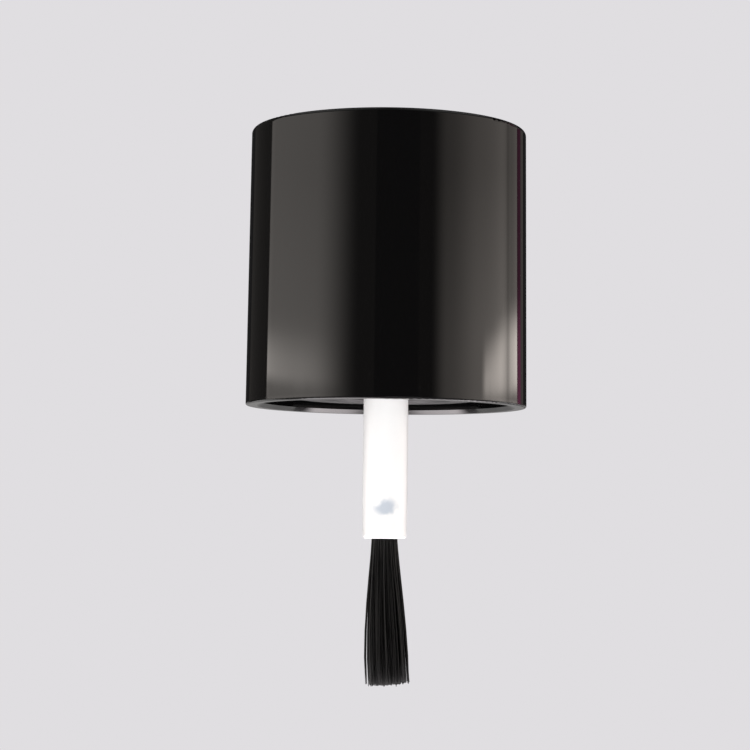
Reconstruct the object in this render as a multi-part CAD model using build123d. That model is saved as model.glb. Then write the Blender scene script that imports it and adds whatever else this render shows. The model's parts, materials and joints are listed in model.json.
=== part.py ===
"""Nail polish bottle cap with its built-in brush, as separate moulded and fitted pieces.

The frame: origin at the centre of the cap's open rim, +Z up through the cap, the brush hanging down
along -Z. The flat anchor that holds the bristles lies across X. All sizes are in millimetres.
"""

import os
from math import cos, pi, radians, sin, tan

from build123d import *

# ---------------------------------------------------------------- driving dimensions: outer cap
RIM_DIAMETER = 28.0
CAP_HEIGHT = 27.7
CAP_DRAFT_DEG = 0.48
SHELL_WALL = 1.5
SHELL_CEILING = 1.6
TOP_EDGE_RADIUS = 0.45
RIM_EDGE_RADIUS = 0.2
RIM_INNER_CHAMFER = 0.4
CEILING_CORNER_RADIUS = 0.9
SLEEVE_WALL = 1.15
RIB_COUNT = 6
RIB_THICKNESS = 0.9
GAP_RIB_RECESS = 3.2
GAP_RIB_SLOPE_DEG = 20.0
STOP_WEB_CLEARANCE = 0.4
SPLINE_COUNT = 12

# ------------------------------------------------------- driving dimensions: threaded closure
NECK_BORE_DIAMETER = 13.3
THREAD_DEPTH = 0.7
THREAD_PITCH = 2.117
THREAD_TURNS = 1.6
THREAD_START = 1.7
THREAD_RUNOUT_DEG = 24.0
THREAD_END_SHARE = 0.05
THREAD_ROOT_WIDTH = 1.15
THREAD_CREST_WIDTH = 0.55
CLOSURE_RECESS = 0.8
CLOSURE_DEPTH = 11.3
CLOSURE_WALL = 1.15
CLOSURE_CEILING = 1.2
LIP_THICKNESS = 0.9
LIP_OVERHANG = 0.1
GRIP_RIB_COUNT = 24
GRIP_RIB_RADIUS = 0.3
GRIP_RIB_HEIGHT = 0.25
MOUTH_CHAMFER = 0.3
SNAP_BEAD_HEIGHT = 0.22
SNAP_BEAD_WIDTH = 0.9
SNAP_BEAD_DROP = 2.3

# -------------------------------------------------------------- driving dimensions: brush stem
STEM_DIAMETER = 4.45
STEM_REACH = 13.1
STEM_NOSE_DIAMETER = 4.35
STEM_NOSE_LENGTH = 5.2
STEM_NOSE_RADIUS = 0.3
STEM_CORE_DIAMETER = 2.0
STEM_WEB = 1.8
FLANGE_THICKNESS = 1.0
FLANGE_GAP = 0.35
FLANGE_FILLET = 0.4
FLANGE_EDGE_RADIUS = 0.2
SEAL_BEAD_RADIUS = 0.3
SEAL_BEAD_HEIGHT = 0.22
SPIGOT_DIAMETER = 3.9
BARB_OVERHANG = 0.25
BARB_HEIGHT = 0.9
BARB_LEAD = 0.35

# ------------------------------------------------------ driving dimensions: anchor and bristles
TUFT_BORE_DIAMETER = 2.7
TUFT_BORE_DEPTH = 5.0
BORE_MOUTH_CHAMFER = 0.12
ANCHOR_HEIGHT = 1.5
ANCHOR_THICKNESS = 0.35
ANCHOR_BITE = 0.25
ANCHOR_CORNER = 0.12
ANCHOR_SET_BACK = 2.3
FOLD_HEIGHT = 0.75
FOLD_RADIUS = 0.6
TUFT_FREE_LENGTH = 14.4
TUFT_FLARE_LENGTH = 10.4
TUFT_FLARE_DIAMETER = 4.2
TUFT_TIP_DIAMETER = 4.5
TUFT_TIP_SLANT_DEG = 5.3
TUFT_TIP_RADIUS = 0.2

# ------------------------------------------------------------------------- fits and clearances
PRESS_CLEARANCE = 0.02
SNAP_CLEARANCE = 0.05
TUFT_CLEARANCE = 0.015
BEND_GAP = 0.12
WELD_OVERLAP = 0.2

# --------------------------------------------------------------------------- worked-out sizes
rim_radius = RIM_DIAMETER / 2
top_radius = rim_radius - CAP_HEIGHT * tan(radians(CAP_DRAFT_DEG))
bore_radius = NECK_BORE_DIAMETER / 2
closure_radius = bore_radius + CLOSURE_WALL
grip_radius = closure_radius + GRIP_RIB_HEIGHT
sleeve_inner = grip_radius + PRESS_CLEARANCE
sleeve_outer = sleeve_inner + SLEEVE_WALL
lip_radius = sleeve_outer + LIP_OVERHANG
closure_ceiling_z = CLOSURE_RECESS + CLOSURE_DEPTH
closure_top_z = closure_ceiling_z + CLOSURE_CEILING
lip_top_z = CLOSURE_RECESS + LIP_THICKNESS
sleeve_mouth_z = lip_top_z + PRESS_CLEARANCE
shell_ceiling_z = CAP_HEIGHT - SHELL_CEILING
snap_bead_z = closure_top_z - SNAP_BEAD_DROP
rib_spacing = 2 * closure_radius * sin(pi / GRIP_RIB_COUNT)
spline_width = rib_spacing - 2 * GRIP_RIB_RADIUS - 2 * SNAP_CLEARANCE

stem_radius = STEM_DIAMETER / 2
nose_radius = STEM_NOSE_DIAMETER / 2
flange_radius = bore_radius - FLANGE_GAP
flange_top_z = closure_ceiling_z
flange_z = flange_top_z - FLANGE_THICKNESS
spigot_radius = SPIGOT_DIAMETER / 2
barb_z = closure_top_z + SNAP_CLEARANCE
spigot_top_z = barb_z + BARB_HEIGHT
web_inner = spigot_radius + BARB_OVERHANG + STOP_WEB_CLEARANCE
stem_end_z = -STEM_REACH

tuft_bore_radius = TUFT_BORE_DIAMETER / 2
tuft_bore_top_z = stem_end_z + TUFT_BORE_DEPTH
tuft_radius = tuft_bore_radius - TUFT_CLEARANCE
anchor_length = TUFT_BORE_DIAMETER + 2 * ANCHOR_BITE
anchor_low_z = stem_end_z + ANCHOR_SET_BACK
anchor_top_z = anchor_low_z + ANCHOR_HEIGHT
bend_pivot_z = stem_end_z - BEND_GAP - tuft_radius
tuft_tip_z = stem_end_z - TUFT_FREE_LENGTH


def turned(*outline):
    """A solid of revolution about Z from an outline of (radius, height) corners."""
    face = make_face(Plane.XZ * Polyline(*outline, close=True))
    return revolve(face, Axis.Z)


def ring(inner, outer, low, high):
    """A plain tube or disc about Z between two heights."""
    return turned((inner, low), (outer, low), (outer, high), (inner, high))


def disc(radius, low, high):
    return ring(0, radius, low, high)


def around(piece, count, start_deg=0.0):
    """Copies of a piece, evenly spaced round Z."""
    return [Rot(0, 0, start_deg + 360 / count * i) * piece for i in range(count)]


def upright_plate(outline, thickness):
    """A plate standing in the XZ plane, centred on Y, from (x, z) corners."""
    face = make_face(Plane.XZ * Polyline(*outline, close=True))
    return extrude(face, amount=thickness / 2, both=True)


def edges_at(solid, radius, height):
    """The circular edges about Z with this radius at this height."""
    tolerance = 1e-3
    return [
        e
        for e in solid.edges().filter_by(GeomType.CIRCLE)
        if abs(e.radius - radius) < tolerance and abs(e.center().Z - height) < tolerance
    ]


def shell_inner_radius(z):
    """The shell's inner wall follows the outer draft at a constant thickness."""
    return rim_radius - z * tan(radians(CAP_DRAFT_DEG)) - SHELL_WALL


def outer_shell():
    """The glossy cup: drafted wall, flat ceiling, rounded top edge and chamfered rim."""
    cup = turned((0, 0), (rim_radius, 0), (top_radius, CAP_HEIGHT), (0, CAP_HEIGHT))
    cup = fillet(edges_at(cup, top_radius, CAP_HEIGHT), TOP_EDGE_RADIUS)
    cup = fillet(edges_at(cup, rim_radius, 0), RIM_EDGE_RADIUS)
    ceiling_radius = shell_inner_radius(shell_ceiling_z)
    hollow = turned(
        (0, 0), (shell_inner_radius(0), 0), (ceiling_radius, shell_ceiling_z), (0, shell_ceiling_z)
    )
    hollow = fillet(edges_at(hollow, ceiling_radius, shell_ceiling_z), CEILING_CORNER_RADIUS)
    cup -= hollow
    return chamfer(edges_at(cup, shell_inner_radius(0), 0), RIM_INNER_CHAMFER)


def closure_sleeve():
    """The tube under the ceiling that takes the closure, with its splines and snap groove."""
    sleeve = ring(sleeve_inner, sleeve_outer, sleeve_mouth_z, shell_ceiling_z + WELD_OVERLAP)
    sleeve = chamfer(edges_at(sleeve, sleeve_inner, sleeve_mouth_z), GRIP_RIB_HEIGHT)
    spline_tip = closure_radius + PRESS_CLEARANCE
    spline_low = sleeve_mouth_z + 2 * GRIP_RIB_HEIGHT
    spline = upright_plate(
        [
            (spline_tip + GRIP_RIB_HEIGHT, spline_low),
            (sleeve_inner + WELD_OVERLAP, spline_low),
            (sleeve_inner + WELD_OVERLAP, closure_top_z),
            (spline_tip, closure_top_z),
            (spline_tip, spline_low + GRIP_RIB_HEIGHT),
        ],
        spline_width,
    )
    half_step = 180 / GRIP_RIB_COUNT
    sleeve += around(spline, SPLINE_COUNT, half_step)
    return sleeve - snap_bead(SNAP_CLEARANCE)


def snap_bead(grow=0.0):
    """The closure's snap bead, or with grow the groove that it drops into."""
    tip = grip_radius + SNAP_BEAD_HEIGHT + grow
    half = SNAP_BEAD_WIDTH / 2 + grow
    flat = SNAP_BEAD_WIDTH / 4
    return turned(
        (closure_radius - WELD_OVERLAP, snap_bead_z - half),
        (grip_radius + grow / 2, snap_bead_z - half),
        (tip, snap_bead_z - flat),
        (tip, snap_bead_z + flat),
        (grip_radius + grow / 2, snap_bead_z + half),
        (closure_radius - WELD_OVERLAP, snap_bead_z + half),
    )


def gap_rib():
    """A rib that ties the sleeve to the shell across the ring-shaped gap."""
    inner = sleeve_outer - WELD_OVERLAP
    outer = shell_inner_radius(0) + WELD_OVERLAP
    top = shell_ceiling_z + WELD_OVERLAP
    low = sleeve_mouth_z + GAP_RIB_RECESS
    drop = (outer - inner) * tan(radians(GAP_RIB_SLOPE_DEG))
    return upright_plate(
        [(inner, low - drop), (outer, low), (outer, top), (inner, top)], RIB_THICKNESS
    )


def stop_web():
    """A web in the sleeve above the closure, which the closure is pushed up against."""
    outer = sleeve_inner + WELD_OVERLAP
    low = closure_top_z + PRESS_CLEARANCE
    top = shell_ceiling_z + WELD_OVERLAP
    return upright_plate(
        [(web_inner, low), (outer, low), (outer, top), (web_inner, top)], RIB_THICKNESS
    )


def make_outer_cap():
    cap = outer_shell() + closure_sleeve()
    cap += around(gap_rib(), RIB_COUNT)
    cap += around(stop_web(), RIB_COUNT)
    return cap


def thread_profile(plane, share=1.0):
    """The thread ridge's cross-section; share scales how far it stands out of the wall."""
    sunk = WELD_OVERLAP
    root = THREAD_ROOT_WIDTH / 2
    crest = THREAD_CREST_WIDTH / 2
    outline = Polyline(
        (sunk, -root), (-THREAD_DEPTH * share, -crest), (-THREAD_DEPTH * share, crest), (sunk, root),
        close=True,
    )
    return make_face(plane * outline)


def neck_thread():
    """A right-hand thread ridge on the closure's bore, with a run-out at each end."""
    helix = Helix(pitch=THREAD_PITCH, height=THREAD_PITCH * THREAD_TURNS, radius=bore_radius)

    def section_plane(turn):
        angle = 2 * pi * turn
        outward = Vector(cos(angle), sin(angle), 0)
        rise = THREAD_PITCH / (2 * pi * bore_radius)
        along = Vector(-sin(angle), cos(angle), rise)
        origin = outward * bore_radius + Vector(0, 0, THREAD_PITCH * turn)
        return Plane(origin=origin, x_dir=outward, z_dir=along)

    ridge = sweep(thread_profile(section_plane(0)), path=helix, is_frenet=True)
    runout = THREAD_RUNOUT_DEG / 360
    for full, end in ((0, -runout), (THREAD_TURNS, THREAD_TURNS + runout)):
        ridge += loft(
            [thread_profile(section_plane(full)), thread_profile(section_plane(end), THREAD_END_SHARE)],
            ruled=True,
        )
    return Pos(0, 0, CLOSURE_RECESS + THREAD_START) * ridge


def make_inner_closure():
    """The screw cap inside: skirt, lip, grip ribs, snap bead, ceiling with its hole, and thread."""
    body = turned(
        (bore_radius, CLOSURE_RECESS),
        (lip_radius, CLOSURE_RECESS),
        (lip_radius, lip_top_z),
        (closure_radius, lip_top_z),
        (closure_radius, closure_top_z),
        (0, closure_top_z),
        (0, closure_ceiling_z),
        (bore_radius, closure_ceiling_z),
    )
    body = chamfer(edges_at(body, closure_radius, closure_top_z), GRIP_RIB_HEIGHT)
    body = chamfer(edges_at(body, bore_radius, CLOSURE_RECESS), MOUTH_CHAMFER)
    body = fillet(edges_at(body, lip_radius, CLOSURE_RECESS), RIM_EDGE_RADIUS)
    rib_axis_radius = grip_radius - GRIP_RIB_RADIUS
    rib_height = closure_top_z - 2 * GRIP_RIB_HEIGHT - lip_top_z
    rib = Pos(rib_axis_radius, 0, lip_top_z) * Cylinder(
        GRIP_RIB_RADIUS, rib_height, align=(Align.CENTER, Align.CENTER, Align.MIN)
    )
    body += around(rib, GRIP_RIB_COUNT)
    body += snap_bead()
    body += neck_thread()
    return body - disc(spigot_radius + PRESS_CLEARANCE, closure_ceiling_z, closure_top_z)


def make_brush_stem():
    """The white stem: flange, sealing bead, snap spigot, hollow shank and the bristle bore."""
    nose_z = stem_end_z + STEM_NOSE_LENGTH
    stem = turned(
        (0, stem_end_z),
        (nose_radius, stem_end_z),
        (stem_radius, nose_z),
        (stem_radius, flange_z),
        (flange_radius, flange_z),
        (flange_radius, flange_top_z),
        (spigot_radius, flange_top_z),
        (spigot_radius, barb_z),
        (spigot_radius + BARB_OVERHANG, barb_z),
        (spigot_radius - BARB_LEAD, spigot_top_z),
        (0, spigot_top_z),
    )
    stem = fillet(edges_at(stem, stem_radius, flange_z), FLANGE_FILLET)
    stem = fillet(edges_at(stem, nose_radius, stem_end_z), STEM_NOSE_RADIUS)
    stem = fillet(
        edges_at(stem, flange_radius, flange_z) + edges_at(stem, flange_radius, flange_top_z),
        FLANGE_EDGE_RADIUS,
    )
    bead_ring_radius = (flange_radius + stem_radius + FLANGE_FILLET) / 2
    bead = Torus(bead_ring_radius, SEAL_BEAD_RADIUS)
    stem += Pos(0, 0, flange_z + SEAL_BEAD_RADIUS - SEAL_BEAD_HEIGHT) * bead
    core_radius = STEM_CORE_DIAMETER / 2
    core_low_z = tuft_bore_top_z + STEM_WEB
    stem -= disc(core_radius, core_low_z, spigot_top_z)
    stem -= Pos(0, 0, core_low_z) * Sphere(core_radius)
    stem -= disc(tuft_bore_radius, stem_end_z, tuft_bore_top_z)
    stem = chamfer(edges_at(stem, tuft_bore_radius, stem_end_z), BORE_MOUTH_CHAMFER)
    return stem - anchor_blank(TUFT_CLEARANCE / 2)


def anchor_blank(grow=0.0):
    """The flat strip across the bore, or with grow the space that it needs."""
    length = anchor_length + 2 * grow
    blank = Box(length, ANCHOR_THICKNESS + 2 * grow, ANCHOR_HEIGHT + 2 * grow)
    return Pos(0, 0, (anchor_low_z + anchor_top_z) / 2) * blank


def make_tuft_anchor():
    """A strip of flat wire, cut a little longer than the bore, with its leading corners broken."""
    strip = anchor_blank()
    upper_ends = [e for e in strip.edges().filter_by(Axis.Y) if e.center().Z > anchor_top_z - 1e-3]
    return chamfer(upper_ends, ANCHOR_CORNER)


def make_tuft_root():
    """The bristles inside the stem, folded over the anchor's top edge. They don't move."""
    fold_z = anchor_top_z + FOLD_HEIGHT
    root = disc(tuft_radius, stem_end_z, fold_z)
    root = fillet(edges_at(root, tuft_radius, fold_z), FOLD_RADIUS)
    return root - anchor_blank(TUFT_CLEARANCE / 2)


def make_bristle_tuft():
    """The free bristles as one plain body: round head at the bend, flare, and slanted tip."""
    flare_z = stem_end_z - TUFT_FLARE_LENGTH
    flare_radius = TUFT_FLARE_DIAMETER / 2
    tip_radius = TUFT_TIP_DIAMETER / 2
    blank_end_z = tuft_tip_z - TUFT_TIP_DIAMETER
    body = turned(
        (0, bend_pivot_z),
        (tuft_radius, bend_pivot_z),
        (flare_radius, flare_z),
        (tip_radius, tuft_tip_z),
        (tip_radius, blank_end_z),
        (0, blank_end_z),
    )
    body += Pos(0, 0, bend_pivot_z) * Sphere(tuft_radius)
    slant = Pos(0, 0, tuft_tip_z) * Rot(0, -TUFT_TIP_SLANT_DEG, 0)
    waste = 4 * TUFT_TIP_DIAMETER
    body -= slant * Box(waste, waste, waste, align=(Align.CENTER, Align.CENTER, Align.MAX))
    tip_face = body.faces().sort_by(Axis.Z)[0]
    return fillet(tip_face.edges(), TUFT_TIP_RADIUS)


PARTS = {
    "outer_cap": make_outer_cap,
    "inner_closure": make_inner_closure,
    "brush_stem": make_brush_stem,
    "tuft_anchor": make_tuft_anchor,
    "tuft_root": make_tuft_root,
    "bristle_tuft": make_bristle_tuft,
}


def main():
    os.makedirs("parts", exist_ok=True)
    for node, make in PARTS.items():
        export_step(make(), f"parts/{node}.step")
        print("wrote", node)


main()
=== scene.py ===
# %% [markdown]
# # A nail polish cap with its brush
#
# The object is a gloss black screw cap with a white stem under it and a short tuft of black bristles.
# Its mechanical model already exists: shell, threaded closure, stem, anchor strip and a plain solid
# that stands for the bristles. This lesson leaves those shapes where they are, gives each a finish,
# and puts a tuft of real filaments where the plain solid was. Every place on the object is read from
# the model. Only the lights and the camera stand at places of their own.

# %% Load the fixed model
import json
from math import cos, pi, radians, sin

import bpy
import numpy as np
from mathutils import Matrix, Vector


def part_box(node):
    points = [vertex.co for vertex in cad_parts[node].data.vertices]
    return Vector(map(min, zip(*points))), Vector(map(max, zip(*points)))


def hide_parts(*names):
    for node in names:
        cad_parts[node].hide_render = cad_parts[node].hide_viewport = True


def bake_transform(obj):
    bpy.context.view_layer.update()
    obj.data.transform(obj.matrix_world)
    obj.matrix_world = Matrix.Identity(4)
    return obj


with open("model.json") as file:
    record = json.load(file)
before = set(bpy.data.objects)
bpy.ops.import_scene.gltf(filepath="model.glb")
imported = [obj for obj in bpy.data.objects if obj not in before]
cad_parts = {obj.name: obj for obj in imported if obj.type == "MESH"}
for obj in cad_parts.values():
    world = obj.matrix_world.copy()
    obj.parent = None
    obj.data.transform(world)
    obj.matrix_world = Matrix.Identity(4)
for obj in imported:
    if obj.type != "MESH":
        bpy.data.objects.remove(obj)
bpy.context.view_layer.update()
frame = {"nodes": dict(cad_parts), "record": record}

MM = 0.001
nodes = frame["nodes"]
print("nodes:", sorted(nodes))

# %% [markdown]
# ## Places to work from
#
# A box query on each node gives the few lengths that the rest of the lesson needs: the stem's lower
# end, the bore that the bristles fill, the anchor that they fold over, and how far they reach.

# %% Read the places from the model
cap_low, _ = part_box("outer_cap")
stem_low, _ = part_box("brush_stem")
anchor_low, anchor_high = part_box("tuft_anchor")
_, root_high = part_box("tuft_root")
tuft_low, tuft_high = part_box("bristle_tuft")

mouth_z = stem_low.z
bore_radius = root_high.x
fold_z = root_high.z
anchor_z = (anchor_low.z + anchor_high.z) / 2
anchor_half_thickness = anchor_high.y
tip_z = tuft_low.z
tip_radius = tuft_high.x
tuft_length = mouth_z - tip_z
print(f"bristles: {tuft_length / MM:.2f} mm free")
print(f"bundle radius: {bore_radius / MM:.2f} mm at the mouth, {tip_radius / MM:.2f} mm at the tip")

# %% [markdown]
# ## Helpers for node materials
#
# A material is a small graph of nodes. A few helpers keep the cells short: they add a node and set
# its values, start a material with its main shader, put it on a piece, and start or use a group of
# nodes. Values that are the same all over a surface are set on the shader's own sockets, and what
# changes over the surface is wired.


# %% Node helpers
NOISE_MIDDLE = {"From_Min": 0.3, "From_Max": 0.7}


def add_node(tree, kind, settings=(), **inputs):
    """Add a node, set its properties, then set or wire its inputs.

    An input goes by its name, with spaces as underscores, or by its number after one underscore.
    """
    node = tree.nodes.new(kind)
    for name, value in dict(settings).items():
        setattr(node, name, value)
    for name, value in inputs.items():
        socket = node.inputs[int(name[1:])] if name[0] == "_" else node.inputs[name.replace("_", " ")]
        if isinstance(value, bpy.types.NodeSocket):
            tree.links.new(value, socket)
        else:
            socket.default_value = value
    return node


def start_material(name, colour, **inputs):
    """A material and its tree and Principled shader, with a plain colour and constant values set."""
    material = bpy.data.materials.new(name)
    material.use_nodes = True
    material.diffuse_color = (*colour, 1)
    tree = material.node_tree
    shader = tree.nodes["Principled BSDF"]
    shader.inputs["Base Color"].default_value = (*colour, 1)
    for socket, value in inputs.items():
        shader.inputs[socket.replace("_", " ")].default_value = value
    return material, tree, shader


def dress(node_name, material):
    """Give a carried-over node this one material."""
    mesh = nodes[node_name].data
    mesh.materials.clear()
    mesh.materials.append(material)
    print(f"{node_name} <- {material.name}")


def start_group(name, inputs, outputs):
    """A shader node group with float or vector sockets; returns its tree and its two end nodes."""
    group = bpy.data.node_groups.new(name, "ShaderNodeTree")
    for socket, (kind, value) in inputs.items():
        made = group.interface.new_socket(socket, in_out="INPUT", socket_type=kind)
        if value is not None:
            made.default_value = value
    for socket in outputs:
        group.interface.new_socket(socket, in_out="OUTPUT", socket_type="NodeSocketFloat")
    return group, group.nodes.new("NodeGroupInput"), group.nodes.new("NodeGroupOutput")


def use_group(tree, group, **inputs):
    """Place a node group in a material, with its own values."""
    return add_node(tree, "ShaderNodeGroup", {"node_tree": group}, **inputs)


def object_place(tree):
    """The surface point in the object's own frame, in metres."""
    return tree.nodes.new("ShaderNodeTexCoord").outputs["Object"]


def noise_to_range(tree, noise, low, high):
    """Stretch the middle of a noise, where nearly all of it lies, to run from low to high."""
    stretch = add_node(tree, "ShaderNodeMapRange", Value=noise, **NOISE_MIDDLE, To_Min=low, To_Max=high)
    return stretch.outputs[0]


# %% [markdown]
# ## Effects that several finishes share
#
# Three small effects are each a node group, built once. The first two appear on more than one part.
#
# - Moulded plastic is never quite smooth. A fine noise in the height makes its grain, and a broad,
#   slow noise makes the gentle wander that bends a reflection.
# - Handling leaves hairline marks. Noise that is stretched a hundred times along one direction makes
#   thin streaks, and a threshold keeps only a few of them.
# - Dust is sparse specks: small round dots round the points of a Voronoi pattern, most of them dropped.

# %% Group: moulded surface
FLOAT, VECTOR = "NodeSocketFloat", "NodeSocketVector"

moulded, ends_in, ends_out = start_group(
    "moulded_surface",
    {"Vector": (VECTOR, None), "Grain Size": (FLOAT, 0.1 * MM), "Wander Size": (FLOAT, 6 * MM)},
    ["Grain", "Wander"],
)
for output, size in (("Grain", "Grain Size"), ("Wander", "Wander Size")):
    scale = add_node(moulded, "ShaderNodeMath", {"operation": "DIVIDE"}, _0=1.0, _1=ends_in.outputs[size])
    noise = add_node(
        moulded,
        "ShaderNodeTexNoise",
        Vector=ends_in.outputs["Vector"],
        Scale=scale.outputs[0],
        Detail=2.0,
        Roughness=0.5,
    )
    moulded.links.new(noise.outputs["Fac"], ends_out.inputs[output])
print("group:", moulded.name)

# %% Group: hairline marks
hairlines, ends_in, ends_out = start_group(
    "hairline_marks",
    {"Vector": (VECTOR, None), "Amount": (FLOAT, 0.5)},
    ["Marks"],
)
HAIRLINE_TURNS = (radians(8), radians(-24), radians(63))
layers = []
for turn in HAIRLINE_TURNS:
    stretched = add_node(
        hairlines,
        "ShaderNodeMapping",
        Vector=ends_in.outputs["Vector"],
        Rotation=(turn, turn / 2, 0),
        Scale=(9000, 9000, 90),
    )
    streaks = add_node(
        hairlines, "ShaderNodeTexNoise", Vector=stretched.outputs[0], Scale=1.0, Detail=1.0
    )
    kept = add_node(
        hairlines,
        "ShaderNodeMapRange",
        {"interpolation_type": "SMOOTHSTEP"},
        Value=streaks.outputs["Fac"],
        From_Min=0.70,
        From_Max=0.80,
    )
    layers.append(kept.outputs[0])
both = add_node(hairlines, "ShaderNodeMath", {"operation": "MAXIMUM"}, _0=layers[0], _1=layers[1])
every = add_node(hairlines, "ShaderNodeMath", {"operation": "MAXIMUM"}, _0=both.outputs[0], _1=layers[2])
faint = add_node(
    hairlines, "ShaderNodeMath", {"operation": "MULTIPLY"}, _0=every.outputs[0], _1=ends_in.outputs["Amount"]
)
hairlines.links.new(faint.outputs[0], ends_out.inputs["Marks"])
print("group:", hairlines.name, "with", len(HAIRLINE_TURNS), "directions")

# %% Group: dust specks
dust, ends_in, ends_out = start_group(
    "dust_specks",
    {"Vector": (VECTOR, None), "Spacing": (FLOAT, 1.2 * MM), "Amount": (FLOAT, 0.5)},
    ["Specks"],
)
scale = add_node(dust, "ShaderNodeMath", {"operation": "DIVIDE"}, _0=1.0, _1=ends_in.outputs["Spacing"])
cells = add_node(
    dust, "ShaderNodeTexVoronoi", Vector=ends_in.outputs["Vector"], Scale=scale.outputs[0], Randomness=1.0
)
dots = add_node(
    dust, "ShaderNodeMapRange", Value=cells.outputs["Distance"], From_Min=0.07, From_Max=0.03
)
lottery = add_node(dust, "ShaderNodeSeparateColor", Color=cells.outputs["Color"])
drawn = add_node(
    dust, "ShaderNodeMath", {"operation": "GREATER_THAN"}, _0=lottery.outputs[0], _1=0.82
)
specks = add_node(dust, "ShaderNodeMath", {"operation": "MULTIPLY"}, _0=dots.outputs[0], _1=drawn.outputs[0])
amount = add_node(
    dust, "ShaderNodeMath", {"operation": "MULTIPLY"}, _0=specks.outputs[0], _1=ends_in.outputs["Amount"]
)
dust.links.new(amount.outputs[0], ends_out.inputs["Specks"])
print("group:", dust.name)

# %% [markdown]
# ## The outer cap: polished black plastic
#
# The shell is moulded in a polished steel tool, so it is nearly as smooth as glass, and its colour is
# deeper than anything around it. All that the eye reads is reflection. A flat roughness would make
# the edges of those reflections too perfect, so hairline marks and a slow wander change it a little,
# and the wander also feeds a very weak bump. The lower rim is where the cap is set down on a table,
# so it is duller just above its edge.

# %% Material: gloss black cap
CAP_BLACK = (0.0024, 0.0023, 0.0024)
CAP_ROUGHNESS = (0.035, 0.065)
DUST_GREY = (0.05, 0.048, 0.046)
SCUFF_HEIGHT = 0.6 * MM
SCUFF_ROUGHNESS = 0.10

gloss_black, tree, shader = start_material("gloss_black_cap", CAP_BLACK, IOR=1.5)
place = object_place(tree)
surface = use_group(tree, moulded, Vector=place, Grain_Size=0.25 * MM, Wander_Size=9 * MM)
marks = use_group(tree, hairlines, Vector=place, Amount=0.05)
specks = use_group(tree, dust, Vector=place, Spacing=1.6 * MM, Amount=0.12)
height = add_node(tree, "ShaderNodeSeparateXYZ", Vector=place)
rim_scuff = add_node(
    tree,
    "ShaderNodeMapRange",
    {"interpolation_type": "SMOOTHSTEP"},
    Value=height.outputs["Z"],
    From_Min=cap_low.z + SCUFF_HEIGHT,
    From_Max=cap_low.z,
    To_Max=SCUFF_ROUGHNESS,
)
calm = noise_to_range(tree, surface.outputs["Wander"], *CAP_ROUGHNESS)
worn = add_node(tree, "ShaderNodeMath", {"operation": "ADD"}, _0=calm, _1=marks.outputs["Marks"])
rough = add_node(tree, "ShaderNodeMath", {"operation": "ADD"}, _0=worn.outputs[0], _1=rim_scuff.outputs[0])
tree.links.new(rough.outputs[0], shader.inputs["Roughness"])
tint = add_node(
    tree,
    "ShaderNodeMix",
    {"data_type": "RGBA"},
    Factor=specks.outputs["Specks"],
    _6=(*CAP_BLACK, 1),
    _7=(*DUST_GREY, 1),
)
tree.links.new(tint.outputs[2], shader.inputs["Base Color"])
bend = add_node(
    tree, "ShaderNodeBump", Strength=0.25, Distance=0.01 * MM, Height=surface.outputs["Wander"]
)
tree.links.new(bend.outputs[0], shader.inputs["Normal"])
dress("outer_cap", gloss_black)

# %% [markdown]
# ## The inner closure: plain black polypropylene
#
# Nobody looks at the closure, so it comes from an unpolished tool in a softer plastic. It scatters
# light, and its grain can be seen in the low light under the rim.

# %% Material: satin black closure
CLOSURE_BLACK = (0.011, 0.011, 0.012)
CLOSURE_ROUGHNESS = (0.36, 0.5)

satin_black, tree, shader = start_material(
    "satin_black_closure", CLOSURE_BLACK, Roughness=0.42, IOR=1.49
)
place = object_place(tree)
surface = use_group(tree, moulded, Vector=place, Grain_Size=0.12 * MM, Wander_Size=3 * MM)
rough = noise_to_range(tree, surface.outputs["Wander"], *CLOSURE_ROUGHNESS)
tree.links.new(rough, shader.inputs["Roughness"])
grain = add_node(tree, "ShaderNodeBump", Strength=0.5, Distance=0.02 * MM, Height=surface.outputs["Grain"])
tree.links.new(grain.outputs[0], shader.inputs["Normal"])
dress("inner_closure", satin_black)

# %% [markdown]
# ## The stem: milky white polyethylene
#
# The stem is soft white plastic that lets a little light through. Where something dark lies in the
# bore, the wall over it looks faintly grey. Real scattering through the wall would need many samples
# to come out clean, so that shade is painted into the stem's colour, worked out from the point's
# place: a bluish painted shade over the broad side of the metal anchor, and a weaker painted shade
# over the packed bristles above and below it. The anchor's painted shade falls off as a soft ellipse
# around the anchor, and the bristles' painted shade is a band between the fold and the mouth that is
# strongest near the axis.

# %% Group: soft ellipse in the XZ plane
ellipse, ends_in, ends_out = start_group(
    "soft_patch",
    {
        "Vector": (VECTOR, None),
        "Centre Z": (FLOAT, 0.0),
        "Half Width": (FLOAT, 1 * MM),
        "Half Height": (FLOAT, 1 * MM),
        "Edge": (FLOAT, 0.3),
    },
    ["Mask"],
)
point = add_node(ellipse, "ShaderNodeSeparateXYZ", Vector=ends_in.outputs["Vector"])
centre_z, half_width, half_height = (
    ends_in.outputs[name] for name in ("Centre Z", "Half Width", "Half Height")
)
across = add_node(ellipse, "ShaderNodeMath", {"operation": "DIVIDE"}, _0=point.outputs["X"], _1=half_width)
below = add_node(ellipse, "ShaderNodeMath", {"operation": "SUBTRACT"}, _0=point.outputs["Z"], _1=centre_z)
along = add_node(ellipse, "ShaderNodeMath", {"operation": "DIVIDE"}, _0=below.outputs[0], _1=half_height)
flat = add_node(ellipse, "ShaderNodeCombineXYZ", X=across.outputs[0], Y=along.outputs[0])
reach = add_node(ellipse, "ShaderNodeVectorMath", {"operation": "LENGTH"}, _0=flat.outputs[0])
inner = add_node(ellipse, "ShaderNodeMath", {"operation": "SUBTRACT"}, _0=1.0, _1=ends_in.outputs["Edge"])
outer = add_node(ellipse, "ShaderNodeMath", {"operation": "ADD"}, _0=1.0, _1=ends_in.outputs["Edge"])
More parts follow.
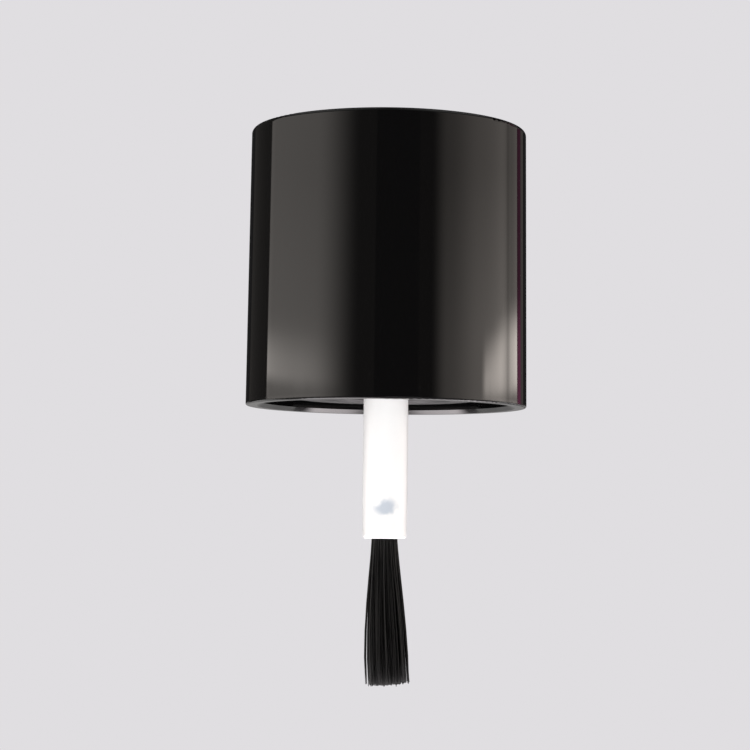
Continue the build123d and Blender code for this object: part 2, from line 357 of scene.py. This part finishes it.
mask = add_node(
    ellipse,
    "ShaderNodeMapRange",
    {"interpolation_type": "SMOOTHSTEP"},
    Value=reach.outputs["Value"],
    From_Min=outer.outputs[0],
    From_Max=inner.outputs[0],
)
ellipse.links.new(mask.outputs[0], ends_out.inputs["Mask"])
print("group:", ellipse.name)

# %% Material: milky white stem
STEM_WHITE = (0.86, 0.86, 0.865)
# Painted shade: the greys of the packed bristles and of the anchor seen through the wall, painted into the
# stem's colour.
PAINTED_BRISTLE_SHADE = (0.83, 0.832, 0.84)
PAINTED_ANCHOR_SHADE = (0.50, 0.545, 0.61)
STEM_ROUGHNESS = 0.3
PATCH_RAGGED = (2.2 * MM, 0, -1.6 * MM)
PATCH_LIFT = 0.1 * MM
PATCH_HALF_WIDTH = 1.05 * MM
PATCH_HALF_HEIGHT = 0.8 * MM

milky_white, tree, shader = start_material(
    "milky_white_stem", STEM_WHITE, Roughness=0.34, IOR=1.51
)
place = object_place(tree)
surface = use_group(tree, moulded, Vector=place, Grain_Size=0.3 * MM, Wander_Size=1.3 * MM)
marks = use_group(tree, hairlines, Vector=place, Amount=0.12)
wander = add_node(tree, "ShaderNodeMath", {"operation": "SUBTRACT"}, _0=surface.outputs["Wander"], _1=0.5)
ragged = add_node(
    tree,
    "ShaderNodeVectorMath",
    {"operation": "MULTIPLY_ADD"},
    _0=wander.outputs[0],
    _1=PATCH_RAGGED,
    _2=place,
)
# Painted shade over the anchor: a soft ellipse round it with a ragged edge.
anchor_painted_shade = use_group(
    tree,
    ellipse,
    Vector=ragged.outputs[0],
    Centre_Z=anchor_z + PATCH_LIFT,
    Half_Width=PATCH_HALF_WIDTH,
    Half_Height=PATCH_HALF_HEIGHT,
    Edge=0.5,
)
# Painted shade over the packed bristles, a band between the fold and the mouth.
bristle_painted_shade = use_group(
    tree,
    ellipse,
    Vector=place,
    Centre_Z=(fold_z + mouth_z) / 2,
    Half_Width=bore_radius,
    Half_Height=(fold_z - mouth_z) / 2,
    Edge=0.25,
)
shadowed = add_node(
    tree,
    "ShaderNodeMix",
    {"data_type": "RGBA"},
    Factor=bristle_painted_shade.outputs["Mask"],
    _6=(*STEM_WHITE, 1),
    _7=(*PAINTED_BRISTLE_SHADE, 1),
)
with_painted_shade = add_node(
    tree,
    "ShaderNodeMix",
    {"data_type": "RGBA"},
    Factor=anchor_painted_shade.outputs["Mask"],
    _6=shadowed.outputs[2],
    _7=(*PAINTED_ANCHOR_SHADE, 1),
)
tree.links.new(with_painted_shade.outputs[2], shader.inputs["Base Color"])
rough = add_node(
    tree, "ShaderNodeMath", {"operation": "ADD"}, _0=STEM_ROUGHNESS, _1=marks.outputs["Marks"]
)
tree.links.new(rough.outputs[0], shader.inputs["Roughness"])
skin = add_node(tree, "ShaderNodeBump", Strength=0.3, Distance=0.02 * MM, Height=surface.outputs["Grain"])
tree.links.new(skin.outputs[0], shader.inputs["Normal"])
dress("brush_stem", milky_white)

# %% [markdown]
# ## The anchor: drawn metal strip
#
# The anchor is cut from flat wire, so its surface carries fine lines along its length, from the die
# that the wire was pulled through. Noise stretched along X draws them.

# %% Material: drawn anchor metal
ANCHOR_GREY = (0.56, 0.59, 0.62)
ANCHOR_ROUGHNESS = (0.22, 0.42)

drawn_metal, tree, shader = start_material(
    "drawn_anchor_metal", ANCHOR_GREY, Metallic=1.0, Roughness=0.3
)
place = object_place(tree)
pulled = add_node(tree, "ShaderNodeMapping", Vector=place, Scale=(600, 20000, 20000))
lines = add_node(tree, "ShaderNodeTexNoise", Vector=pulled.outputs[0], Scale=1.0, Detail=2.0)
rough = noise_to_range(tree, lines.outputs["Fac"], *ANCHOR_ROUGHNESS)
tree.links.new(rough, shader.inputs["Roughness"])
die_marks = add_node(tree, "ShaderNodeBump", Strength=0.4, Distance=0.01 * MM, Height=lines.outputs["Fac"])
tree.links.new(die_marks.outputs[0], shader.inputs["Normal"])
dress("tuft_anchor", drawn_metal)

# %% [markdown]
# ## The bristles
#
# A brush like this holds a bundle of nylon filaments. Each one is folded in half over the anchor, so
# it has two free ends. The folded bundle is driven into the bore, and the free ends flare a little
# and are cut on a slight slant.
#
# It could be made with a hair system, but a mesh is what bends with the joint and what exports. So
# each filament is a thin four-sided tube along its own path, and all of them are worked out at once,
# as arrays with one row for each filament.
#
# Where each filament starts is settled first. A sunflower spiral fills a disc evenly: point k lies at
# a radius that grows with the square root of k, and turns by the golden angle each time. Only the
# half in front of the anchor is kept. The other leg of each filament leaves from the mirrored point.

# %% Roots of the filaments, in the mouth of the bore
FILAMENTS = 230
FILAMENT_RADIUS = 0.057 * MM
SEED = 28
PACKING_MARGIN = 1.2 * FILAMENT_RADIUS

rng = np.random.default_rng(SEED)
golden = pi * (3 - 5**0.5)
k = np.arange(2 * FILAMENTS)
spiral_radius = (bore_radius - PACKING_MARGIN) * np.sqrt((k + 0.5) / len(k))
spiral_turn = golden * k
spiral_x = spiral_radius * np.cos(spiral_turn)
spiral_y = spiral_radius * np.sin(spiral_turn)
nearest_first = np.argsort(-spiral_y)[:FILAMENTS]
root_x = spiral_x[nearest_first]
root_y = spiral_y[nearest_first]
print("filaments:", FILAMENTS, "free ends:", 2 * FILAMENTS)

# %% [markdown]
# ### How the bundle widens
#
# The flare is one function of the share t of the free length. It sets off as soon as the bore lets
# the filaments go, and it is level again a little before the tip, because the ends lean back on each
# other. Most ends fill a dense core, and a few stand out in a thin fringe round it, which is why the
# outline of such a tuft looks soft. Neighbours also cling together in small locks, which is what
# makes its stripes. A lock is a point in the tip's disc, and each end is drawn part of the way to
# the nearest one.

# %% Tip of each free end
LOCKS = 34
LOCK_SCATTER = 0.12 * MM
CLING = 0.38
STRAY = 0.12 * MM
LEAN = 0.60 * MM
FLARE_START_SLOPE = 0.9
FLARE_LEVEL_AT = 0.92
CORE_SHARE = 0.90
FRINGE_POWER = 6
REACH = (0.76, 1.09)


def flare(t):
    """Share of the widening at share t of the length: a cubic a u + (3 - 2a) u^2 + (a - 2) u^3.

    u is t over the share where the flare is level, at most 1, and a is the slope at the mouth.
    """
    u = np.minimum(t / FLARE_LEVEL_AT, 1)
    a = FLARE_START_SLOPE
    return a * u + (3 - 2 * a) * u**2 + (a - 2) * u**3


legs_x = np.concatenate([root_x, root_x])
legs_y = np.concatenate([root_y, -root_y])
outermost = spiral_radius.max()
share_out = np.hypot(legs_x, legs_y) / outermost
fringe = CORE_SHARE + (1 - CORE_SHARE) * share_out**FRINGE_POWER
spread = (tip_radius - FILAMENT_RADIUS) / outermost * fringe
spread *= rng.uniform(*REACH, len(spread))
tips = np.stack([legs_x * spread, legs_y * spread], axis=1)
lock_k = np.arange(LOCKS)
lock_radius = tip_radius * np.sqrt((lock_k + 0.5) / LOCKS)
locks = lock_radius[:, None] * np.stack([np.cos(golden * lock_k), np.sin(golden * lock_k)], axis=1)
locks += rng.normal(0, LOCK_SCATTER, locks.shape)
nearest = np.argmin(np.linalg.norm(tips[:, None] - locks[None], axis=2), axis=1)
tips += CLING * (locks[nearest] - tips) + rng.normal(0, STRAY, tips.shape)
print("locks:", LOCKS, "widest end at", round(np.abs(tips[:, 0]).max() / MM, 2), "mm")

# %% [markdown]
# ### The paths
#
# A path runs from one free end up to the mouth, through the bore, over the anchor in a half ellipse,
# and down again to the other end. Written as arrays, it is three stretches with a few rings each:
#
# - free length: the root point moves out to the tip point by the flare, with a slight bow of its own,
#   and the whole bundle leans a little to one side. The rings are closer together over a stretch below
#   the mouth, round the joint's pivot;
# - in the bore: straight up, stepping aside from the anchor;
# - fold: y follows a cosine from one side to the other, and z rises by a sine over the anchor's edge.

# %% Work out every path
BEND_RINGS = 5
REST_RINGS = 4
BEND_EASE = 1.3
FOLD_RINGS = 3
BOW = 0.08 * MM
LEAN_POWER = 1.5
CUT_LIFT = 0.25 * MM
CUT_SCATTER = 0.07 * MM
CUT_SLOPE = 0.09
CUT_CROWN = 0.12 * MM
ANCHOR_MARGIN = 1.1 * FILAMENT_RADIUS
FOLD_RISE_SHARES = (0.25, 0.70)

pivot_z = frame["record"]["behaviour"]["joints"][0]["pos_m"][2]
bend_end_z = mouth_z - 2 * BEND_EASE * (mouth_z - pivot_z)
bend_share = (mouth_z - bend_end_z) / tuft_length
past_bend = np.linspace(1, bend_share, REST_RINGS + 1)
share = np.concatenate([past_bend, np.linspace(bend_share, 0, BEND_RINGS)[1:]])[None, :]
bow_turn = rng.uniform(0, 2 * pi, (2 * FILAMENTS, 1))
bow_size = rng.normal(0, BOW, (2 * FILAMENTS, 1)) * np.sin(pi * share)
end_reach = np.linalg.norm(tips, axis=1) / tip_radius
end_z = tip_z + CUT_LIFT + CUT_SLOPE * tips[:, 0] + CUT_CROWN * end_reach**2
end_z = np.maximum(end_z + rng.normal(0, CUT_SCATTER, len(end_z)), tip_z)[:, None]
widened_x = legs_x[:, None] + (tips[:, :1] - legs_x[:, None]) * flare(share)
widened_y = legs_y[:, None] + (tips[:, 1:] - legs_y[:, None]) * flare(share)
free = np.stack(
    [
        widened_x + bow_size * np.cos(bow_turn) + LEAN * share**LEAN_POWER,
        widened_y + bow_size * np.sin(bow_turn),
        mouth_z + (end_z - mouth_z) * share,
    ],
    axis=2,
)

side_gap = anchor_half_thickness + ANCHOR_MARGIN
squeeze = (bore_radius - FILAMENT_RADIUS - side_gap) / bore_radius
beside_y = side_gap + root_y * squeeze
turn = np.linspace(0, pi, FOLD_RINGS)[None, :]
least_rise, added_rise = FOLD_RISE_SHARES
fold_room = fold_z - FILAMENT_RADIUS - anchor_high.z
fold_rise = fold_room * (least_rise + added_rise * beside_y / bore_radius)
fold = np.stack(
    [
        np.repeat(root_x[:, None], FOLD_RINGS, axis=1),
        beside_y[:, None] * np.cos(turn),
        anchor_high.z + FILAMENT_RADIUS + fold_rise[:, None] * np.sin(turn),
    ],
    axis=2,
)
first_leg = free[:FILAMENTS]
second_leg = free[FILAMENTS:, ::-1]
beside = np.stack([root_x, beside_y, np.full(FILAMENTS, anchor_low.z)], axis=1)[:, None, :]
paths = np.concatenate([first_leg, beside, fold, beside * (1, -1, 1), second_leg], axis=1)
print("rings on each filament:", paths.shape[1])

# %% [markdown]
# ### From paths to tubes
#
# A ring needs two directions across the path. The path never runs along X, so X with its share along
# the path taken out is one, and the cross product of the path's direction with it is the other. The
# first and last rings are smaller, which rounds the cut ends.


# %% Build the tubes
SIDES = 4
END_TAPER = 0.6
THICKNESS_SCATTER = 0.06


def tubes(centres, radii, sides):
    """Closed tubes round many paths: centre + radius (cos a across + sin a over), for each ring."""
    count, rings, _ = centres.shape
    heading = np.gradient(centres, axis=1)
    heading /= np.linalg.norm(heading, axis=2, keepdims=True)
    across = np.array([1.0, 0, 0]) - heading[:, :, :1] * heading
    across /= np.linalg.norm(across, axis=2, keepdims=True)
    over = np.cross(heading, across)
    angle = np.arange(sides) * 2 * pi / sides
    offset = np.cos(angle)[:, None] * across[:, :, None] + np.sin(angle)[:, None] * over[:, :, None]
    points = centres[:, :, None] + radii[:, :, None, None] * offset
    tube, ring, side = np.meshgrid(np.arange(count), np.arange(rings - 1), np.arange(sides), indexing="ij")
    base = (tube * rings + ring) * sides
    after = (side + 1) % sides
    walls = np.stack([base + side, base + after, base + sides + after, base + sides + side], axis=-1)
    first = np.arange(count)[:, None] * rings * sides + np.arange(sides)[None, ::-1]
    last = (np.arange(count)[:, None] * rings + rings - 1) * sides + np.arange(sides)[None, :]
    faces = [*walls.reshape(-1, 4).tolist(), *first.tolist(), *last.tolist()]
    return points.reshape(-1, 3), faces


thickness = rng.normal(1, THICKNESS_SCATTER, (FILAMENTS, 1)) * FILAMENT_RADIUS
radii = np.repeat(thickness, paths.shape[1], axis=1)
radii[:, [0, -1]] *= END_TAPER
points, faces = tubes(paths, radii, SIDES)
mesh = bpy.data.meshes.new("bristles")
mesh.from_pydata(points, [], faces)
mesh.shade_smooth()
bristles = bpy.data.objects.new("bristles", mesh)
bpy.context.scene.collection.objects.link(bristles)
print("bristles:", len(points), "points,", len(faces), "faces")

# %% [markdown]
# ### The nylon's finish
#
# Black filaments are not all equally black. A tone for each filament, stored on its points, sets how
# dark it is. Most are near black, and a few are greyer. A second stored value says how far along the
# free length a point is, because the filaments are a little smoother, and shine more, towards the tip.

# %% Store a tone on each filament
TONE_SHAPE = (1.2, 5.0)

tone = np.repeat(rng.beta(*TONE_SHAPE, FILAMENTS), paths.shape[1] * SIDES)
along = np.clip((mouth_z - points[:, 2]) / tuft_length, 0, 1)
for name, values in (("tone", tone), ("along", along)):
    mesh.attributes.new(name, "FLOAT", "POINT").data.foreach_set("value", values.astype(np.float32))
print("mean tone:", round(float(tone.mean()), 2))

# %% Material: black nylon
NYLON_BLACK = (0.006, 0.0058, 0.006)
NYLON_DARKEST = (0.0030, 0.0029, 0.0030)
NYLON_GREYEST = (0.036, 0.035, 0.035)
MOUTH_ROUGHNESS = 0.55
TIP_ROUGHNESS = 0.40

black_nylon, tree, shader = start_material(
    "black_nylon", NYLON_BLACK, Roughness=0.45, IOR=1.53, Specular_IOR_Level=0.18
)
tone_value = add_node(tree, "ShaderNodeAttribute", {"attribute_name": "tone"})
along_value = add_node(tree, "ShaderNodeAttribute", {"attribute_name": "along"})
nylon_colour = add_node(
    tree,
    "ShaderNodeMix",
    {"data_type": "RGBA"},
    Factor=tone_value.outputs["Fac"],
    _6=(*NYLON_DARKEST, 1),
    _7=(*NYLON_GREYEST, 1),
)
tree.links.new(nylon_colour.outputs[2], shader.inputs["Base Color"])
rough = add_node(
    tree,
    "ShaderNodeMapRange",
    Value=along_value.outputs["Fac"],
    To_Min=MOUTH_ROUGHNESS,
    To_Max=TIP_ROUGHNESS,
)
tree.links.new(rough.outputs[0], shader.inputs["Roughness"])
mesh.materials.append(black_nylon)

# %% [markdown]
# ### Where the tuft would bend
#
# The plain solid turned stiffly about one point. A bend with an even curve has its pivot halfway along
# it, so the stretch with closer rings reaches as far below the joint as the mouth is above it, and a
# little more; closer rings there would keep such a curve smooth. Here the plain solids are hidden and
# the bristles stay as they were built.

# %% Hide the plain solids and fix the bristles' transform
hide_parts("tuft_root", "bristle_tuft")
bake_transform(bristles)
print("bristles bend over", round((mouth_z - bend_end_z) / MM, 1), "mm")

# %% [markdown]
# ## Light
#
# A black gloss surface shows its lights, not itself, so the lights make its look. Each is a curved
# panel round the object that glows softly, as a cloth softbox does.
#
# - Left and right: two tall panels at the sides make the two upright bands on the cap. They rise
#   slowly towards the front and stop short behind, so the bands fade inwards and end sharply outwards.
#   A strip across each, where a lamp stands behind the cloth, makes the lighter glint low on the wall.
#   They leave the front free, so the middle of the cap stays black.
# - Pink: a narrow coloured strip beside the right panel, for the thin line near the right edge.
# - Front: a panel below the wall's view lights the white stem and the bristles. It gives light only
#   and isn't mirrored, so it leaves no patch on the cap when the cap is seen from behind.
# - Rear and low: two panels that the rim's underside and the inside of the wall mirror, for the light
#   crescents along the rim.
# - Top: a weak panel over the flat top, so that it isn't pure black from above.


# %% Glowing panels
PANEL_STEP = 0.5
PANEL_DISTANCE = 0.62


def soft_step(x, low, high):
    """0 below low and 1 above high, with a smooth rise between: s s (3 - 2 s)."""
    s = np.clip((x - low) / (high - low), 0, 1)
    return s * s * (3 - 2 * s)


def glow_panel(name, azimuth, elevation, glow, tint, distance=PANEL_DISTANCE, mirrored=True):
    """A patch of a sphere round the object, seen from inside; azimuth 0 is the front, + to the right.

    A point is distance (sin a cos e, -cos a cos e, sin e). glow(a, e) in degrees gives its strength.
    A panel that isn't mirrored lights surfaces but doesn't show in glossy ones.
    """
    columns, rows = (round((high - low) / PANEL_STEP) + 1 for low, high in (azimuth, elevation))
    a, e = np.meshgrid(np.linspace(*azimuth, columns), np.linspace(*elevation, rows), indexing="ij")
    ar, er = np.radians(a), np.radians(e)
    place = distance * np.stack([np.sin(ar) * np.cos(er), -np.cos(ar) * np.cos(er), np.sin(er)], axis=-1)
    corner = (np.arange(columns - 1)[:, None] * rows + np.arange(rows - 1)[None]).ravel()
    quads = np.stack([corner, corner + 1, corner + rows + 1, corner + rows], axis=1)
    panel_mesh = bpy.data.meshes.new(name)
    panel_mesh.from_pydata(place.reshape(-1, 3), [], quads.tolist())
    strength = glow(a, e).ravel().astype(np.float32)
    panel_mesh.attributes.new("glow", "FLOAT", "POINT").data.foreach_set("value", strength)
    material = bpy.data.materials.new(name)
    material.use_nodes = True
    lamp = material.node_tree
    lamp.nodes.clear()
    level = add_node(lamp, "ShaderNodeAttribute", {"attribute_name": "glow"})
    light = add_node(lamp, "ShaderNodeEmission", Color=(*tint, 1), Strength=level.outputs["Fac"])
    add_node(lamp, "ShaderNodeOutputMaterial", Surface=light.outputs[0])
    panel_mesh.materials.append(material)
    panel = bpy.data.objects.new(name, panel_mesh)
    panel.visible_camera = False
    panel.visible_shadow = False
    panel.visible_glossy = mirrored
    bpy.context.scene.collection.objects.link(panel)
    print(f"{name}: mean glow {strength.mean():.2f}")


def strip(e, low, high):
    """A horizontal strip of light between two elevations, quick to rise and slow to fade."""
    return soft_step(e, low - 0.25, low + 0.25) * (1 - soft_step(e, high - 0.2, high + 1.4))


# %% [markdown]
# ### What each panel gives off
#
# Each function below takes azimuth a and elevation e, in degrees, and gives the light's strength
# there. The wall of a panel is its cloth, lit evenly, and the lamp is the brighter strip across it.

# %% The side panels
LEFT_END = 113.2
RIGHT_END = 133.5
PINK_END = 142
SIDE_ELEVATION = (-13.5, 35)
CLOTH_TOP = 7


def below_top(e):
    """Degrees below the line where the cloth is at its plain strength, from -5 to 1."""
    return (CLOTH_TOP - e).clip(-5, 1)


def left_glow(a, e):
    """Rises from the front, sags a little towards its sharp outer end, with a long lamp strip."""
    turned = -a
    lit = turned < LEFT_END
    wall = 1.62 * soft_step(turned, 22, 62) * (1 - 0.37 * np.clip((turned - 61) / 46, 0, 1) ** 2)
    wall = wall * (1 + 0.035 * below_top(e)) * lit
    lamp = 1.75 * soft_step(turned, 30, 75) * strip(e, 4.7, 5.35) * lit
    return wall + lamp + 0.07


def right_glow(a, e):
    """Rises in two steps and drops to half beyond a seam, with a short, strong lamp strip."""
    notch = 1 - 0.3 * np.exp(-(((a - 116) / 2.5) ** 2))
    wall = 0.72 * soft_step(a, 35, 50) + 0.78 * soft_step(a, 48, 80)
    wall = wall * (1 - 0.56 * soft_step(a, 104, 124)) * (1 + 0.075 * below_top(e))
    lamp = soft_step(a, 81.5, 88) * (1 - 0.45 * soft_step(a, 104, 115) + 0.1 * soft_step(a, 118, 122))
    lamp = 4.3 * lamp * strip(e, 4.35, 5.1 + 0.035 * (a - 90).clip(-6, 25))
    return (wall + lamp) * notch * (a < RIGHT_END) + 0.05 + 0.1 * (a > PINK_END)


def pink_glow(a, e):
    """Weak, and three times as strong low down."""
    return 0.13 + 0.24 * (1 - soft_step(e, 5.5, 8))


glow_panel("left_panel", (-150, -10), SIDE_ELEVATION, left_glow, (1.0, 0.935, 0.88))
glow_panel("right_panel", (25, 150), SIDE_ELEVATION, right_glow, (1.0, 0.91, 0.84))
glow_panel("pink_panel", (RIGHT_END, PINK_END), (-10, 30), pink_glow, (1.0, 0.27, 0.56), distance=0.60)


# %% The front, rear, low and top panels
def front_glow(a, e):
    """Even, and weaker towards both ends."""
    return 4.2 * (1 - 0.8 * soft_step(np.abs(a), 55, 85))


def rear_glow(a, e):
    """A box to each side of the back, low down, and a weak fill straight behind."""
    beside = np.abs(a - 180)
    boxes = 1.3 * soft_step(beside, 12, 50) * (1 - soft_step(e, -13, -9))
    return boxes + 0.36 * (1 - soft_step(beside, 20, 35))


def low_glow(a, e):
    """A ring under the back, faded towards its upper edge and towards the point right below."""
    return 7.0 * (1 - soft_step(-e, 70, 88)) * soft_step(-e, 49, 57)


def top_glow(a, e):
    """Weak in front and behind, stronger to the sides, faded in from its lower edge."""
    return (0.1 + 0.4 * np.sin(np.radians(a)) ** 2) * soft_step(e, 38, 50)


glow_panel("front_panel", (-85, 85), (-45, -14), front_glow, (1.0, 0.99, 0.985), mirrored=False)
glow_panel("rear_panel", (110, 250), (-44, -0.5), rear_glow, (1.0, 0.98, 0.97))
glow_panel("low_panel", (90, 270), (-90, -49), low_glow, (1.0, 0.93, 0.95))
glow_panel("top_panel", (-180, 180), (38, 90), top_glow, (1.0, 0.99, 0.98))

# %% [markdown]
# ## Floor and backdrop
#
# The floor is a plain pale disc well below the object. The backdrop is the world's colour, seen only
# by the camera, and nearly dark for everything else, so that it doesn't fill the black cap with grey.
# The floor takes the backdrop's colour for the camera too, and the two meet without a line.

# %% Backdrop and floor
BACKDROP = (0.745, 0.730, 0.752)
FELT_BACKDROP = 0.03
FLOOR_Z = -0.70
FLOOR_RADIUS = 4.0
FLOOR_SIDES = 64
FLOOR_GREY = (0.5, 0.49, 0.5)


def camera_or(tree, seen, felt):
    """Mix two shaders: seen for rays from the camera, felt for every other ray."""
    ray = tree.nodes.new("ShaderNodeLightPath")
    return add_node(tree, "ShaderNodeMixShader", _0=ray.outputs["Is Camera Ray"], _1=felt, _2=seen)


world = bpy.data.worlds.new("backdrop")
bpy.context.scene.world = world
world.use_nodes = True
sky = world.node_tree
sky.nodes.clear()
seen = add_node(sky, "ShaderNodeBackground", Color=(*BACKDROP, 1), Strength=1.0)
felt = add_node(sky, "ShaderNodeBackground", Color=(*BACKDROP, 1), Strength=FELT_BACKDROP)
add_node(sky, "ShaderNodeOutputWorld", Surface=camera_or(sky, seen.outputs[0], felt.outputs[0]).outputs[0])

turn = np.linspace(0, 2 * pi, FLOOR_SIDES, endpoint=False)
level = np.full(FLOOR_SIDES, FLOOR_Z)
edge = np.stack([FLOOR_RADIUS * np.cos(turn), FLOOR_RADIUS * np.sin(turn), level], axis=1)
floor_mesh = bpy.data.meshes.new("floor")
floor_mesh.from_pydata(edge, [], [list(range(FLOOR_SIDES))])
floor_material = bpy.data.materials.new("pale_floor")
floor_material.use_nodes = True
ground = floor_material.node_tree
ground.nodes.clear()
seen = add_node(ground, "ShaderNodeEmission", Color=(*BACKDROP, 1), Strength=1.0)
felt = add_node(ground, "ShaderNodeBsdfDiffuse", Color=(*FLOOR_GREY, 1))
pale = camera_or(ground, seen.outputs[0], felt.outputs[0])
add_node(ground, "ShaderNodeOutputMaterial", Surface=pale.outputs[0])
floor_mesh.materials.append(floor_material)
floor = bpy.data.objects.new("floor", floor_mesh)
bpy.context.scene.collection.objects.link(floor)
print("floor at", FLOOR_Z, "m")

# %% [markdown]
# ## Camera
#
# The camera stands 222 mm from the cap's axis, a little below the rim, and looks slightly up, so the
# rim's underside shows as a thin ellipse and only the edge of the flat top shows, as a low curve. The
# long lens keeps the upright sides nearly parallel.

# %% Camera
from mathutils import Matrix

CAMERA_DISTANCE = 222 * MM
CAMERA_SIDE = -1.13 * MM
CAMERA_HEIGHT = -12.9 * MM
LOOK_UP = radians(4.15)
ROLL = radians(0.68)

lens = bpy.data.cameras.new("camera")
lens.lens = 106.9
lens.sensor_width = 36.0
lens.clip_start = 0.01
lens.clip_end = 20
camera = bpy.data.objects.new("camera", lens)
stand = Matrix.Translation((CAMERA_SIDE, -CAMERA_DISTANCE, CAMERA_HEIGHT))
camera.matrix_world = stand @ Matrix.Rotation(pi / 2 + LOOK_UP, 4, "X") @ Matrix.Rotation(ROLL, 4, "Z")
bpy.context.scene.collection.objects.link(camera)
bpy.context.scene.camera = camera
bpy.context.scene.view_settings.view_transform = "Standard"
print("camera set")
